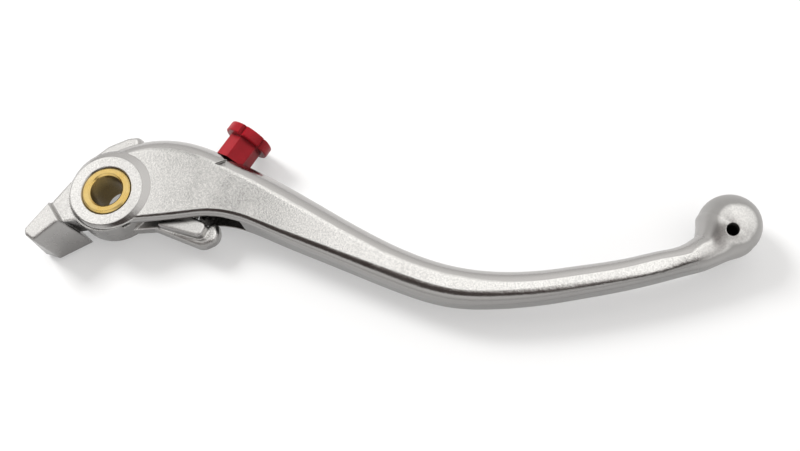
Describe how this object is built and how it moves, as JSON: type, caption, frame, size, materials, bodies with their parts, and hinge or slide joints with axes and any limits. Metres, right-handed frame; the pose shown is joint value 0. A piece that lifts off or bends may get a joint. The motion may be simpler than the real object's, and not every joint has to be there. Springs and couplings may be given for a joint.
{
  "type": "motorcycle brake lever",
  "caption": "Curved polished aluminium motorcycle brake lever with a ball end, brass pivot bush, separate pump-pushing arm and red reach dial.",
  "frame": {"origin": "middle of the pivot bush, on the pivot axis", "axes": "+Z along the pivot axis, up when mounted; +X along the lever towards the ball end; +Y towards the front of the machine, away from the handlebar"},
  "size_m": [0.1748, 0.0495, 0.0144],
  "materials": {
    "polished_aluminium": "cast, hand polished to a soft shine",
    "cast_aluminium": "cast, tumbled satin",
    "brass": "turned",
    "red_plastic": "moulded, satin",
    "spring_steel": "drawn, oiled"
  },
  "bodies": {
    "carrier": {"pusher_arm": "cast_aluminium", "pivot_bush": "brass", "preload_spring": "spring_steel"},
    "blade": {"lever_blade": "polished_aluminium"},
    "dial": {"adjuster_dial": "red_plastic", "dial_clip": "spring_steel"}
  },
  "joints": [
    {"name": "blade_reach", "type": "hinge", "parent": "carrier", "child": "blade", "pos_m": [0, 0, 0], "axis": [0, 0, 1], "range_deg": [-4.27, 0]},
    {"name": "dial_turn", "type": "hinge", "parent": "blade", "child": "dial", "pos_m": [0.0295, 0.00905, 0], "axis": [0.5446, 0.8387, 0], "range_deg": [-300, 0]}
  ],
  "couplings": [
    {"joint": "dial_turn", "follows": "blade_reach", "ratio": 70.203}
  ]
}
